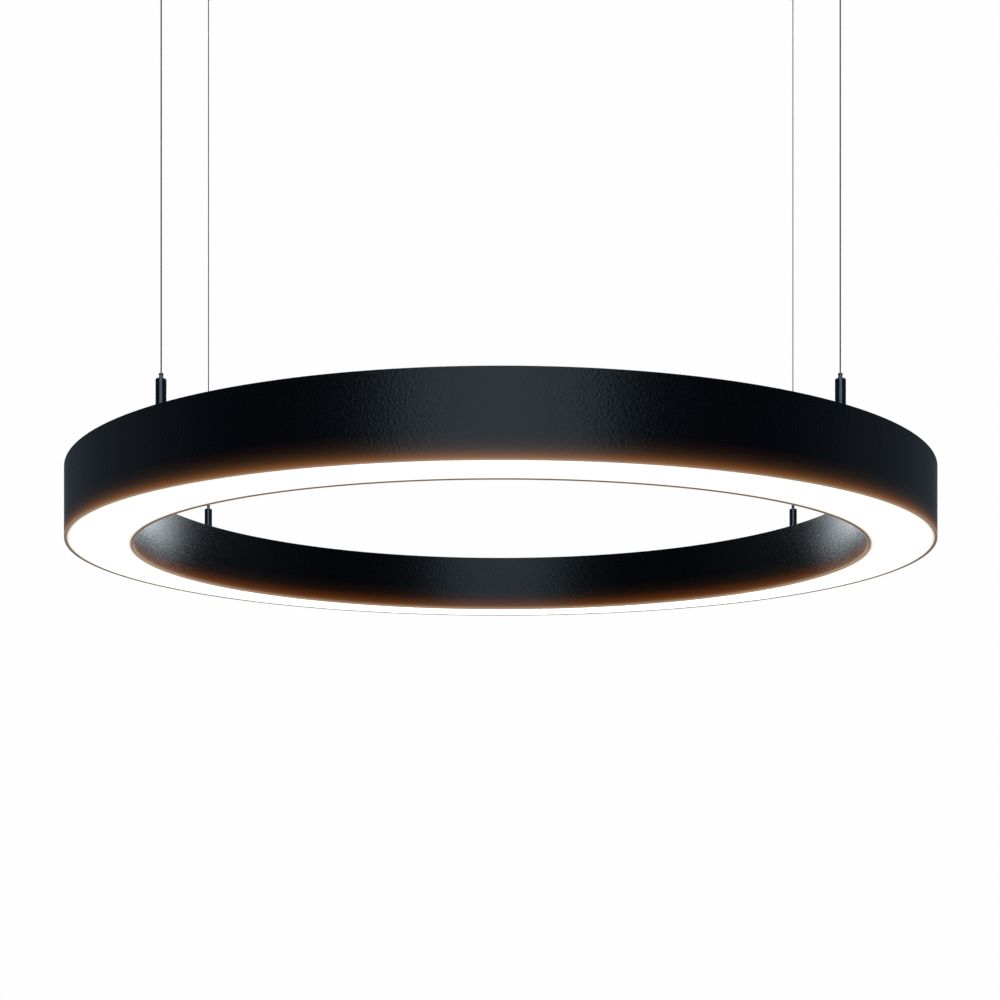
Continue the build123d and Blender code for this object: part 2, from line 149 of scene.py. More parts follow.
class Finish:
    """One material: a Principled shader, its constants, and the nodes that feed it."""

    def __init__(self, name, **constants):
        self.material = bpy.data.materials.new(name)
        self.material.use_nodes = True
        self.nodes = self.material.node_tree.nodes
        self.links = self.material.node_tree.links
        self.shader = self.nodes["Principled BSDF"]
        for socket, value in constants.items():
            self.shader.inputs[socket.replace("_", " ")].default_value = value

    def node(self, kind, settings, sockets, output=0):
        made = self.nodes.new(kind)
        for name, value in settings.items():
            if name == "stops":
                self.stop(made.color_ramp.elements, value)
            else:
                setattr(made, name, value)
        for name, value in sockets.items():
            self.feed(made.inputs[name], value)
        return Signal(self, made.outputs[output])

    def stop(self, elements, stops):
        while len(elements) < len(stops):
            elements.new(1.0)
        for element, (position, colour) in zip(elements, stops):
            element.position = position
            element.color = (*colour, 1.0)

    def feed(self, socket, value):
        if isinstance(value, Signal):
            self.links.new(value.socket, socket)
        else:
            socket.default_value = value

    def vary(self, socket, value):
        self.feed(self.shader.inputs[socket], value)

    def place(self):
        return self.node("ShaderNodeTexCoord", {}, {}, "Object")

    def height(self):
        return self.node("ShaderNodeSeparateXYZ", {}, {"Vector": self.place()}, "Z")

    def radius(self):
        """How far a point lies from the ring's upright axis."""
        sockets = {0: self.place(), 1: (1.0, 1.0, 0.0)}
        flat = self.node("ShaderNodeVectorMath", {"operation": "MULTIPLY"}, sockets)
        return self.node("ShaderNodeVectorMath", {"operation": "LENGTH"}, {0: flat}, "Value")

    def away_from(self, value, middle):
        """How far a value lies from its middle, on either side."""
        return self.node("ShaderNodeMath", {"operation": "ABSOLUTE"}, {0: value - middle})

    def noise(self, scale, detail=2.0):
        sockets = {"Vector": self.place(), "Scale": scale, "Detail": detail}
        return self.node("ShaderNodeTexNoise", {}, sockets)

    def ramp(self, share, stops):
        return self.node("ShaderNodeValToRGB", {"stops": stops}, {0: share})

    def eased(self, value, start, end):
        """Rises smoothly from 0 to 1 while the value goes from start to end."""
        settings = {"interpolation_type": "SMOOTHSTEP"}
        sockets = {"Value": value, "From Min": start, "From Max": end}
        return self.node("ShaderNodeMapRange", settings, sockets)

    def mixed(self, share, first, second):
        colours = [value if isinstance(value, Signal) else (*value, 1.0) for value in (first, second)]
        sockets = {"Factor": share, 6: colours[0], 7: colours[1]}
        return self.node("ShaderNodeMix", {"data_type": "RGBA"}, sockets, 2)

    def bumped(self, height, distance):
        self.vary("Normal", self.node("ShaderNodeBump", {}, {"Height": height, "Distance": distance}))


def metal(name, dark, light, roughness, grain):
    """Bare or plated metal: two tones in a fine grain, uneven gloss and the tool's slight marks."""
    finish = Finish(name, Metallic=1.0)
    marks = finish.noise(grain)
    finish.vary("Base Color", finish.mixed(marks, dark, light))
    finish.vary("Roughness", finish.noise(grain / 3) * GLOSS_SPREAD + roughness)
    finish.bumped(marks, TOOL_MARK_DEPTH)
    return finish


def dress(piece, finish, body):
    """Gives a piece its finish and the body that it moves with."""
    piece.data.materials.clear()
    piece.data.materials.append(finish.material)
    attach(piece, body)


def deselect():
    """Nothing stays selected, because an operator acts on all that is."""
    bpy.ops.object.select_all(action="DESELECT")


def select_only(piece):
    deselect()
    piece.select_set(True)
    bpy.context.view_layer.objects.active = piece


def closed_up(capped=False):
    """Ends edit mode: holes capped when asked, doubled points made one, and every face turned outwards."""
    bpy.ops.mesh.select_all(action="SELECT")
    if capped:
        bpy.ops.mesh.fill_holes(sides=0)
    bpy.ops.mesh.remove_doubles(threshold=MERGE_WITHIN)
    bpy.ops.mesh.normals_make_consistent(inside=False)
    bpy.ops.object.mode_set(mode="OBJECT")


def turned(name, outline, steps=TURNED_STEPS, solid=False):
    """A piece turned round the upright axis: a circle extruded from point to point of its outline."""
    deselect()
    radius, height = outline[0]
    bpy.ops.mesh.primitive_circle_add(vertices=steps, radius=radius, location=(0.0, 0.0, height))
    piece = bpy.context.object
    piece.name = name
    bpy.ops.object.transform_apply(location=True, rotation=False, scale=False)
    bpy.ops.object.mode_set(mode="EDIT")
    bpy.ops.mesh.select_all(action="SELECT")
    points_after = outline[1:] if solid else (*outline[1:], outline[0])
    for next_radius, next_height in points_after:
        rise = (0.0, 0.0, next_height - height)
        bpy.ops.mesh.extrude_edges_move(TRANSFORM_OT_translate={"value": rise})
        share = next_radius / radius
        bpy.ops.transform.resize(value=(share, share, 1.0), center_override=(0.0, 0.0, next_height))
        radius, height = next_radius, next_height
    closed_up(capped=solid)
    return piece


def smoothed(piece, edge=30.0):
    """Shades a piece smooth, apart from its edges sharper than this angle."""
    select_only(piece)
    bpy.ops.object.shade_smooth_by_angle(angle=radians(edge))
    faces = piece.modifiers.new("flat_faces", "WEIGHTED_NORMAL")
    faces.keep_sharp = True
    bpy.ops.object.modifier_apply(modifier=faces.name)
    return piece


def raised(outline, height):
    """An outline moved up to stand on this height."""
    return tuple((radius, place + height) for radius, place in outline)


def hanger_place(corner):
    """Where a hanger's upright axis stands, seen from above, and its angle round the ring."""
    low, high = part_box(f"suspension_wire_{corner}")
    middle = (low + high) / 2
    return Vector((middle.x, middle.y, 0.0)), atan2(middle.y, middle.x)


def copied(piece, name, place=(0.0, 0.0, 0.0), turn=0.0):
    """A copy with its own mesh, turned about the upright axis and then moved to its place."""
    copy = piece.copy()
    copy.data = piece.data.copy()
    copy.name = name
    bpy.context.scene.collection.objects.link(copy)
    copy.location = place
    copy.rotation_euler = (0.0, 0.0, turn)
    select_only(copy)
    bpy.ops.object.transform_apply(location=True, rotation=True, scale=False)
    return copy


def at_hangers(piece, name):
    """The piece copied to the four hangers, by corner. The first one is removed."""
    copies = {}
    for corner in HANGERS:
        place, angle = hanger_place(corner)
        copies[corner] = copied(piece, f"{name}_{corner}", place, angle)
    bpy.data.objects.remove(piece)
    return copies


def joined(pieces, name):
    """Several like pieces as the one object that stands for their group."""
    deselect()
    for piece in pieces:
        piece.select_set(True)
    bpy.context.view_layer.objects.active = pieces[0]
    bpy.ops.object.join()
    pieces[0].name = name
    return pieces[0]


dark_nickel = metal(
    "dark_nickel_plate",
    dark=(0.090, 0.102, 0.118),
    light=(0.125, 0.138, 0.155),
    roughness=0.20,
    grain=2500.0,
)
for corner, base in at_hangers(smoothed(turned("base", BASE_OUTLINE)), "turned_base").items():
    dress(base, dark_nickel, "ceiling")
    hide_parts(f"ceiling_base_{corner}")

# Ceiling caps. Turned cups in the same plated brass, screwed up over the spigots by hand, with two fine
# grip lines round the rim and a hole in the floor that the wire hangs through.
CAP_R = 0.011
CAP_LOW = -0.028
CAP_FLOOR_Z = -0.023
CAP_BORE_R = 0.0083
CAP_HOLE_R = 0.001
CAP_CHAMFER = 0.001
GRIP_LINE = 0.00025
UPPER_LINE_Z = -0.0048
LOWER_LINE_Z = -0.0062
CAP_OUTLINE = (
    (CAP_HOLE_R, CAP_FLOOR_Z),
    (CAP_BORE_R, CAP_FLOOR_Z),
    (CAP_BORE_R, -FLANGE_T),
    (CAP_R - BROKEN_EDGE, -FLANGE_T),
    (CAP_R, -FLANGE_T - BROKEN_EDGE),
    (CAP_R, UPPER_LINE_Z),
    (CAP_R - GRIP_LINE, UPPER_LINE_Z - GRIP_LINE),
    (CAP_R, UPPER_LINE_Z - 2 * GRIP_LINE),
    (CAP_R, LOWER_LINE_Z),
    (CAP_R - GRIP_LINE, LOWER_LINE_Z - GRIP_LINE),
    (CAP_R, LOWER_LINE_Z - 2 * GRIP_LINE),
    (CAP_R, CAP_LOW + CAP_CHAMFER),
    (CAP_R - CAP_CHAMFER, CAP_LOW),
    (CAP_HOLE_R + BROKEN_EDGE, CAP_LOW),
    (CAP_HOLE_R, CAP_LOW + BROKEN_EDGE),
)
caps = at_hangers(smoothed(turned("cap", CAP_OUTLINE)), "turned_cap")
for corner, cap in caps.items():
    dress(cap, dark_nickel, "ceiling")
    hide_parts(f"ceiling_cap_{corner}")

# Ferrules. Steel sleeves pressed onto the wires' upper ends in three bands. Each rests on its cap's
# floor and carries its share of the lamp.
FERRULE_R = 0.0025
FERRULE_BORE_R = 0.00065
FERRULE_TOP = -0.014
FERRULE_STEPS = 48
PRESSED_R = 0.0022
BANDS = 3
BAND_H = 0.002
BAND_PITCH = 0.0029
FIRST_BAND_Z = CAP_FLOOR_Z + 0.0005
FERRULE_OUTLINE = [(FERRULE_BORE_R, CAP_FLOOR_Z), (FERRULE_R - BROKEN_EDGE, CAP_FLOOR_Z)]
for band in range(BANDS):
    band_low = FIRST_BAND_Z + band * BAND_PITCH
    FERRULE_OUTLINE.append((FERRULE_R, band_low))
    FERRULE_OUTLINE.append((PRESSED_R, band_low + BROKEN_EDGE))
    FERRULE_OUTLINE.append((PRESSED_R, band_low + BAND_H - BROKEN_EDGE))
    FERRULE_OUTLINE.append((FERRULE_R, band_low + BAND_H))
FERRULE_OUTLINE += [(FERRULE_R - BROKEN_EDGE, FERRULE_TOP), (FERRULE_BORE_R, FERRULE_TOP)]
zinc_steel = metal(
    "zinc_plated_steel",
    dark=(0.42, 0.44, 0.47),
    light=(0.62, 0.63, 0.65),
    roughness=0.30,
    grain=900.0,
)
ferrules = at_hangers(smoothed(turned("ferrule", FERRULE_OUTLINE, FERRULE_STEPS)), "ferrule")
ferrules = joined(list(ferrules.values()), "pressed_ferrules")
dress(ferrules, zinc_steel, "ceiling")
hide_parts("wire_ferrules")

# Suspension wires. Four stainless steel ropes 1.2 mm thick, each of six strands laid round a core,
# pressed into a ferrule at the ceiling and held by a gripper's jaws on the ring.
WIRE_R = 0.0006
STRANDS = 6
STRAND_R = WIRE_R / 3
STRAND_CORNERS = (-80, -27, 27, 80)
STRAND_CREASE = radians(40.0)
LAY_LENGTH = 0.0085
WIRE_RINGS = 1100
RING_TOP_Z = -0.700
EVEN_SHARES = (0.0, 0.25, 0.75, 1.0)


def rope_ends(node):
    """The upper and the lower end of a CAD wire's middle line."""
    low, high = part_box(node)
    middle = (low + high) / 2
    return Vector((middle.x, middle.y, high.z)), Vector((middle.x, middle.y, low.z))


def rope_section():
    """The outline of six strands laid side by side in a ring, as a closed flat curve."""
    data = bpy.data.curves.new("rope_section", "CURVE")
    outline = data.splines.new("POLY")
    corners = []
    for strand in range(STRANDS):
        middle = tau * strand / STRANDS
        for corner in STRAND_CORNERS:
            angle = middle + radians(corner)
            across = (WIRE_R - STRAND_R) * cos(middle) + STRAND_R * cos(angle)
            along = (WIRE_R - STRAND_R) * sin(middle) + STRAND_R * sin(angle)
            corners.append((across, along, 0.0, 1.0))
    outline.points.add(len(corners) - 1)
    for point, corner in zip(outline.points, corners):
        point.co = corner
    outline.use_cyclic_u = True
    section = bpy.data.objects.new("rope_section", data)
    bpy.context.scene.collection.objects.link(section)
    return section


def rope(node, section):
    """A taut rope down the middle of a CAD wire, and the line that it follows."""
    top, end = rope_ends(node)
    data = bpy.data.curves.new(f"{node}_route", "CURVE")
    data.dimensions = "3D"
    data.twist_mode = "Z_UP"
    route = data.splines.new("NURBS")
    route.points.add(len(EVEN_SHARES) - 1)
    for point, share in zip(route.points, EVEN_SHARES):
        point.co = (*top.lerp(end, share), 1.0)
        point.tilt = tau * share * (top - end).length / LAY_LENGTH
    route.order_u = 3
    route.use_endpoint_u = True
    route.resolution_u = WIRE_RINGS // (len(EVEN_SHARES) - 1)
    guide = bpy.data.objects.new(f"{node}_route", data)
    bpy.context.scene.collection.objects.link(guide)
    bpy.context.view_layer.update()
    line = [tuple(v.co) for v in bpy.data.meshes.new_from_object(guide).vertices]
    data.bevel_mode = "OBJECT"
    data.bevel_object = section
    data.use_fill_caps = True
    bpy.context.view_layer.update()
    skin = bpy.data.meshes.new_from_object(guide.evaluated_get(bpy.context.evaluated_depsgraph_get()))
    piece = bpy.data.objects.new(node.replace("suspension", "stranded"), skin)
    bpy.context.scene.collection.objects.link(piece)
    bpy.data.objects.remove(guide)
    select_only(piece)
    bpy.ops.object.mode_set(mode="EDIT")
    closed_up()
    bpy.ops.object.shade_smooth_by_angle(angle=STRAND_CREASE)
    return piece, line


wire_steel = metal(
    "stranded_steel",
    dark=(0.014, 0.015, 0.017),
    light=(0.050, 0.052, 0.057),
    roughness=0.36,
    grain=900.0,
)
section = rope_section()
for corner in HANGERS:
    node = f"suspension_wire_{corner}"
    wire, line = rope(node, section)
    dress(wire, wire_steel, "ceiling")
    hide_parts(node)
    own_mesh(wire)
bpy.data.objects.remove(section)

# Housing. One aluminium extrusion with an H profile, rolled to a ring and welded at one seam that is
# ground away, then powder coated in fine black texture. Its upper channel holds the electrics, and
# the chamber under the web the light boards; a groove along each wall holds the diffuser's barbs.
RING_STEPS = 384
RING_LOW_Z = -0.7705
OUTER_R = 0.450
INNER_R = 0.384
WALL_T = 0.0015
GROOVE_LOW_Z = RING_LOW_Z + 0.003
GROOVE_TOP_Z = RING_LOW_Z + 0.0042
GROOVE_DEPTH = 0.0005
WEB_LOW_Z = RING_LOW_Z + 0.034
WEB_TOP_Z = WEB_LOW_Z + 0.0025
LEDGE_W = 0.004
LEDGE_LOW_Z = RING_TOP_Z - 0.004
LEDGE_TOP_Z = RING_TOP_Z - 0.002
EDGE_R = 0.0003
EDGE_SHARE = 0.3
CHANNEL_OUTER_R = OUTER_R - WALL_T
CHANNEL_INNER_R = INNER_R + WALL_T
CHANNEL_MID_R = (CHANNEL_OUTER_R + CHANNEL_INNER_R) / 2
LEAD_HOLE_R = 0.004
THROUGH_WEB = 0.01
LEAD_HOLE_ANGLES = (radians(-33.75), radians(213.75))


def wall_outline(face_r, channel_r, inward):
    """One upright wall with its ledge and groove, from the web's top up, over and down to its underside."""
    ledge_r = channel_r + inward * LEDGE_W
    groove_r = channel_r - inward * GROOVE_DEPTH
    step = inward * EDGE_R
    return (
        (channel_r, WEB_TOP_Z),
        (channel_r, LEDGE_LOW_Z),
        (ledge_r, LEDGE_LOW_Z),
        (ledge_r, LEDGE_TOP_Z),
        (channel_r, LEDGE_TOP_Z),
        (channel_r, RING_TOP_Z - EDGE_R / 2),
        (channel_r - step / 2, RING_TOP_Z),
        (face_r + step, RING_TOP_Z),
        (face_r + EDGE_SHARE * step, RING_TOP_Z - EDGE_SHARE * EDGE_R),
        (face_r, RING_TOP_Z - EDGE_R),
        (face_r, RING_LOW_Z + EDGE_R),
        (face_r + EDGE_SHARE * step, RING_LOW_Z + EDGE_SHARE * EDGE_R),
        (face_r + step, RING_LOW_Z),
        (channel_r - step / 2, RING_LOW_Z),
        (channel_r, RING_LOW_Z + EDGE_R / 2),
        (channel_r, GROOVE_LOW_Z),
        (groove_r, GROOVE_LOW_Z),
        (groove_r, GROOVE_TOP_Z),
        (channel_r, GROOVE_TOP_Z),
        (channel_r, WEB_LOW_Z),
    )


def drilled(piece, radius, middle, depth, sides=32):
    """Cuts an upright hole, round or with flat sides, into a piece."""
    deselect()
    bpy.ops.mesh.primitive_cylinder_add(vertices=sides, radius=radius, depth=depth, location=middle)
    cutter = bpy.context.object
    hole = piece.modifiers.new("hole", "BOOLEAN")
    hole.operation = "DIFFERENCE"
    hole.solver = "EXACT"
    hole.object = cutter
    select_only(piece)
    bpy.ops.object.modifier_apply(modifier=hole.name)
    bpy.data.objects.remove(cutter)


inner_wall = wall_outline(INNER_R, CHANNEL_INNER_R, 1)
outer_wall = wall_outline(OUTER_R, CHANNEL_OUTER_R, -1)
housing = turned("rolled_housing", inner_wall + outer_wall[::-1], RING_STEPS)
for angle in LEAD_HOLE_ANGLES:
    middle = (CHANNEL_MID_R * cos(angle), CHANNEL_MID_R * sin(angle), WEB_TOP_Z)
    drilled(housing, LEAD_HOLE_R, middle, THROUGH_WEB)
smoothed(housing, edge=50.0)

COAT_DARK = (0.0001, 0.0002, 0.0004)
COAT_LIGHT = (0.0006, 0.0008, 0.0012)
COAT_ROUGHNESS = 0.175
COAT_RELIEF = 0.00025
black_coat = Finish("black_powder_coat", IOR=1.5, Emission_Strength=1.0)
grain = black_coat.noise(1400.0, detail=3.0)
leathery = black_coat.noise(460.0)
black_coat.vary("Base Color", black_coat.mixed(grain, COAT_DARK, COAT_LIGHT))
black_coat.bumped(grain * 0.15 + leathery, COAT_RELIEF)

# Painted glow: the light face's warm light is painted into the coat's emission on the last centimetres
# of both walls' outer sides, more of it inside the ring, where the walls face each other, and a little
# on their undersides. The undersides are also rougher, where the coat lies thinner over the sawn edge.
GLOW_H = 0.030
OUTER_GLOW = (
    (0.010, (0.36, 0.22, 0.13)),
    (0.027, (0.28, 0.145, 0.08)),
    (0.050, (0.225, 0.10, 0.045)),
    (0.083, (0.175, 0.072, 0.025)),
    (0.133, (0.13, 0.048, 0.014)),
    (0.200, (0.075, 0.027, 0.0075)),
    (0.267, (0.042, 0.017, 0.0055)),
    (0.333, (0.026, 0.011, 0.0035)),
    (0.400, (0.016, 0.007, 0.0018)),
    (0.467, (0.010, 0.004, 0.001)),
    (0.567, (0.005, 0.0014, 0.0004)),
    (0.733, (0.0, 0.0, 0.0)),
)
INNER_GLOW = (
    (0.010, (0.40, 0.265, 0.18)),
    (0.050, (0.34, 0.215, 0.135)),
    (0.083, (0.245, 0.135, 0.072)),
    (0.133, (0.14, 0.056, 0.020)),
    (0.200, (0.100, 0.033, 0.008)),
    (0.267, (0.073, 0.019, 0.003)),
    (0.333, (0.055, 0.014, 0.002)),
    (0.400, (0.039, 0.0105, 0.001)),
    (0.467, (0.024, 0.0065, 0.0005)),
    (0.567, (0.010, 0.0032, 0.0003)),
    (0.667, (0.0058, 0.0023, 0.0002)),
    (0.800, (0.0035, 0.0011, 0.0)),
    (1.0, (0.0, 0.0, 0.0)),
)
GLOW_DEPTH = 0.00035
NO_GLOW = (0.0, 0.0, 0.0)
SAWN_ROUGHER = 0.55
OUTER_UNDERSIDE_GLOW = (0.160, 0.125, 0.085)
INNER_UNDERSIDE_GLOW = (0.230, 0.145, 0.095)
share_up = (black_coat.height() - RING_LOW_Z) / GLOW_H
on_inner_side = black_coat.radius() < INNER_R + GLOW_DEPTH
on_outer_side = black_coat.radius() > OUTER_R - GLOW_DEPTH
on_underside = share_up < EDGE_R / GLOW_H
on_inner_wall = black_coat.radius() < CHANNEL_MID_R
underside_glow = black_coat.mixed(on_inner_wall, OUTER_UNDERSIDE_GLOW, INNER_UNDERSIDE_GLOW)
glow = black_coat.mixed(on_underside, NO_GLOW, underside_glow)
glow = black_coat.mixed(on_inner_side, glow, black_coat.ramp(share_up, INNER_GLOW))
glow = black_coat.mixed(on_outer_side, glow, black_coat.ramp(share_up, OUTER_GLOW))
# Painted glow: warm emission by height on the coat stands in for the light face's light falling on the
# walls.
black_coat.vary("Emission Color", glow)
uneven_gloss = grain * 0.10 + leathery * 0.10 + COAT_ROUGHNESS
black_coat.vary("Roughness", uneven_gloss + on_underside * SAWN_ROUGHER)
dress(housing, black_coat, "ring")
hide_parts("housing")

# Light boards. Sixteen straight aluminium boards in white solder mask, screwed up against the web by
# two small holes each, with a gap between their ends that the light leads come down through.
BOARDS = 16
BOARD_SIZE = Vector((0.024, 0.150, 0.0016))
BOARD_TOP = WEB_LOW_Z
BOARD_LOW = BOARD_TOP - BOARD_SIZE.z
FIXING_R = 0.0016
FIXING_X = 0.008
FIXING_Y = 0.060
FIXING_SIDES = 20


def rounded(piece, edge, segments=2):
    """Breaks a piece's edges, as moulding, stamping or cutting leaves them."""
    select_only(piece)
    corners = piece.modifiers.new("broken_edges", "BEVEL")
    corners.width = edge
    corners.segments = segments
    corners.limit_method = "ANGLE"
    corners.angle_limit = radians(35.0)
    bpy.ops.object.modifier_apply(modifier=corners.name)
    return smoothed(piece)


def block(name, size, middle):
    """A block of a size, at its place on the ring at angle 0."""
    deselect()
    bpy.ops.mesh.primitive_cube_add(size=1.0, location=middle)
    piece = bpy.context.object
    piece.name = name
    piece.scale = size
    bpy.ops.object.transform_apply(location=True, rotation=False, scale=True)
    return piece


def round_the_ring(piece, count):
    """The piece copied round the ring at even steps. The first one is removed."""
    copies = [copied(piece, f"{piece.name}_{step}", turn=tau * step / count) for step in range(count)]
    bpy.data.objects.remove(piece)
    return copies


board = block("board", BOARD_SIZE, (CHANNEL_MID_R, 0.0, BOARD_TOP - BOARD_SIZE.z / 2))
for along in (-FIXING_Y, FIXING_Y):
    middle = (CHANNEL_MID_R + FIXING_X, along, BOARD_TOP)
    drilled(board, FIXING_R, middle, THROUGH_WEB, FIXING_SIDES)
rounded(board, edge=0.0002, segments=1)
boards = joined(round_the_ring(board, BOARDS), "white_boards")
solder_mask = Finish("white_solder_mask", Roughness=0.35)
weave = solder_mask.noise(420.0)
solder_mask.vary("Base Color", solder_mask.mixed(weave, (0.72, 0.72, 0.69), (0.82, 0.82, 0.79)))
solder_mask.bumped(weave, 0.00002)
dress(boards, solder_mask, "ring")
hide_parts("led_boards")

# Light chips. A line of surface-mounted chips on each board: a white moulded body, open underneath,
# with the phosphor let into it.
CHIP_SIZE = Vector((0.0028, 0.0035, 0.0008))
CHIP_PITCH = 0.008
CHIPS = 18
CHIP_RIM = 0.0004
CHIP_RECESS = 0.00012
CHIP_MOULDING = (0.78, 0.78, 0.75)
CHIP_LIGHT = (1.0, 0.72, 0.40)
NEAR = 0.00002


def pick_faces(piece, wanted):
    """Enters edit mode with just those faces selected that the test wants."""
    select_only(piece)
    bpy.ops.object.mode_set(mode="EDIT")
    bpy.ops.mesh.select_mode(type="FACE")
    bpy.ops.mesh.select_all(action="DESELECT")
    bpy.ops.object.mode_set(mode="OBJECT")
    for face in piece.data.polygons:
        face.select = wanted(face)
    bpy.ops.object.mode_set(mode="EDIT")


first_chip = -CHIP_PITCH * (CHIPS - 1) / 2
chips = block("chips", CHIP_SIZE, (CHANNEL_MID_R, first_chip, BOARD_LOW - CHIP_SIZE.z / 2))
pick_faces(chips, lambda face: face.normal.z < -0.9)
bpy.ops.mesh.inset(thickness=CHIP_RIM, depth=-CHIP_RECESS)
bpy.ops.object.mode_set(mode="OBJECT")
row = chips.modifiers.new("row", "ARRAY")
row.count = CHIPS
row.use_relative_offset = False
row.use_constant_offset = True
row.constant_offset_displace = (0.0, CHIP_PITCH, 0.0)
bpy.ops.object.modifier_apply(modifier=row.name)
chips = joined(round_the_ring(chips, BOARDS), "light_chips")
phosphor = Finish("phosphor_in_white_moulding", Roughness=0.3, Emission_Strength=1.0)
recess_z = BOARD_LOW - CHIP_SIZE.z + CHIP_RECESS
let_in = (phosphor.height() < recess_z + NEAR) * (phosphor.height() > recess_z - NEAR)
grains = phosphor.mixed(phosphor.noise(5000.0), (0.80, 0.56, 0.10), (0.90, 0.70, 0.22))
phosphor.vary("Base Color", phosphor.mixed(let_in, CHIP_MOULDING, grains))
phosphor.vary("Emission Color", phosphor.mixed(let_in, NO_GLOW, CHIP_LIGHT))
dress(chips, phosphor, "ring")
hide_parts("led_strips")

# Diffuser. One opal acrylic channel snapped between the walls by a barb along each leg. It glows
# evenly and turns creamy towards the walls, where less of the boards' light comes through.
DIFFUSER_LOW = RING_LOW_Z + 0.0005
SEAT_GAP = 0.0003
LEG_T = 0.0015
FACE_T = 0.002
LEG_H = 0.006
DIFFUSER_INNER_R = CHANNEL_INNER_R + SEAT_GAP
DIFFUSER_OUTER_R = CHANNEL_OUTER_R - SEAT_GAP
DIFFUSER_HALF_W = (DIFFUSER_OUTER_R - DIFFUSER_INNER_R) / 2
FACE_EDGE = 0.0004
BARB_PLAY = 0.0001
BARB_LOW = GROOVE_LOW_Z + BARB_PLAY
BARB_TOP = GROOVE_TOP_Z - BARB_PLAY
BARB_W = SEAT_GAP + GROOVE_DEPTH - BARB_PLAY / 2
DIFFUSER_OUTLINE = (
    (DIFFUSER_INNER_R + FACE_EDGE, DIFFUSER_LOW),
    (DIFFUSER_OUTER_R - FACE_EDGE, DIFFUSER_LOW),
    (DIFFUSER_OUTER_R, DIFFUSER_LOW + FACE_EDGE),
    (DIFFUSER_OUTER_R, BARB_LOW),
    (DIFFUSER_OUTER_R + BARB_W, BARB_LOW),
    (DIFFUSER_OUTER_R, BARB_TOP),
    (DIFFUSER_OUTER_R, DIFFUSER_LOW + LEG_H),
    (DIFFUSER_OUTER_R - LEG_T, DIFFUSER_LOW + LEG_H),
    (DIFFUSER_OUTER_R - LEG_T, DIFFUSER_LOW + FACE_T),
    (DIFFUSER_INNER_R + LEG_T, DIFFUSER_LOW + FACE_T),
    (DIFFUSER_INNER_R + LEG_T, DIFFUSER_LOW + LEG_H),
    (DIFFUSER_INNER_R, DIFFUSER_LOW + LEG_H),
    (DIFFUSER_INNER_R, BARB_TOP),
    (DIFFUSER_INNER_R - BARB_W, BARB_LOW),
    (DIFFUSER_INNER_R, BARB_LOW),
    (DIFFUSER_INNER_R, DIFFUSER_LOW + FACE_EDGE),
)
SHADE_W = 0.0028
PAINTED_EDGE_SHADE = (0.22, 0.20, 0.16)
LIT_ACROSS = (
    (0.0, (1.0, 1.0, 1.0)),
    (0.60, (1.0, 1.0, 0.99)),
    (0.76, (0.93, 0.90, 0.84)),
    (0.85, (0.68, 0.61, 0.53)),
    (0.885, (0.46, 0.39, 0.30)),
    (0.915, (0.23, 0.18, 0.125)),
    (0.9455, (0.09, 0.062, 0.038)),
)
diffuser = smoothed(turned("opal_diffuser", DIFFUSER_OUTLINE, RING_STEPS), edge=50.0)
opal = Finish("opal_acrylic", Roughness=0.45, IOR=1.49, Emission_Strength=1.0)
aside = opal.away_from(opal.radius(), CHANNEL_MID_R)
opal.vary("Emission Color", opal.ramp(aside * 2 / (OUTER_R - INNER_R), LIT_ACROSS))
cloud = opal.mixed(opal.noise(60.0), (0.80, 0.79, 0.77), (0.84, 0.83, 0.81))
# Painted shade: the base colour darkens over the last millimetres by the walls, where the groove and wall
# shade the face's edge.
shaded = opal.eased(aside, DIFFUSER_HALF_W - SHADE_W, DIFFUSER_HALF_W)
opal.vary("Base Color", opal.mixed(shaded, cloud, PAINTED_EDGE_SHADE))
dress(diffuser, opal, "ring")
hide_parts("diffuser")

# Drivers. Two slim constant-current supplies in matt white cases lie on the web, each with a screw tab
# at its ends. Their cases are two mouldings that meet in a fine line at half height.
DRIVER_H = 0.021
PARTING_Z = WEB_TOP_Z + DRIVER_H / 2
PARTING_LINE = 0.0004
PARTING_DEPTH = 0.0002
CASE_GRAIN = 1800.0
FLAT_WITHIN = radians(0.3)


def recut(node, name, edge, segments=2):
    """A CAD node's form with its loose facets joined and its edges broken, as a piece of its own."""
    piece = copied(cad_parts[node], name)
    bpy.ops.object.mode_set(mode="EDIT")
    bpy.ops.mesh.select_all(action="SELECT")
    bpy.ops.mesh.remove_doubles(threshold=MERGE_WITHIN)
    bpy.ops.mesh.dissolve_limited(angle_limit=FLAT_WITHIN)
    bpy.ops.object.mode_set(mode="OBJECT")
    return rounded(piece, edge, segments)


def moulded(name, dark, light, roughness, grain, depth):
    """A moulded plastic or rubber: a slight cloud in its colour and the mould's fine texture."""
    finish = Finish(name)
    texture = finish.noise(grain)
    finish.vary("Base Color", finish.mixed(finish.noise(grain / 12), dark, light))
    finish.vary("Roughness", texture * GLOSS_SPREAD + roughness)
    finish.bumped(texture, depth)
    return finish


driver_case = moulded(
    "white_case",
    dark=(0.74, 0.74, 0.73),
    light=(0.80, 0.80, 0.79),
    roughness=0.45,
    grain=CASE_GRAIN,
    depth=0.00002,
)
off_line = driver_case.away_from(driver_case.height(), PARTING_Z)
relief = driver_case.eased(off_line, 0.0, PARTING_LINE) + driver_case.noise(CASE_GRAIN) * 0.1
driver_case.bumped(relief, PARTING_DEPTH)
for side in ("right", "left"):
    driver = recut(f"driver_{side}", f"cased_driver_{side}", edge=0.0009, segments=3)
    dress(driver, driver_case, "ring")
    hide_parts(f"driver_{side}")

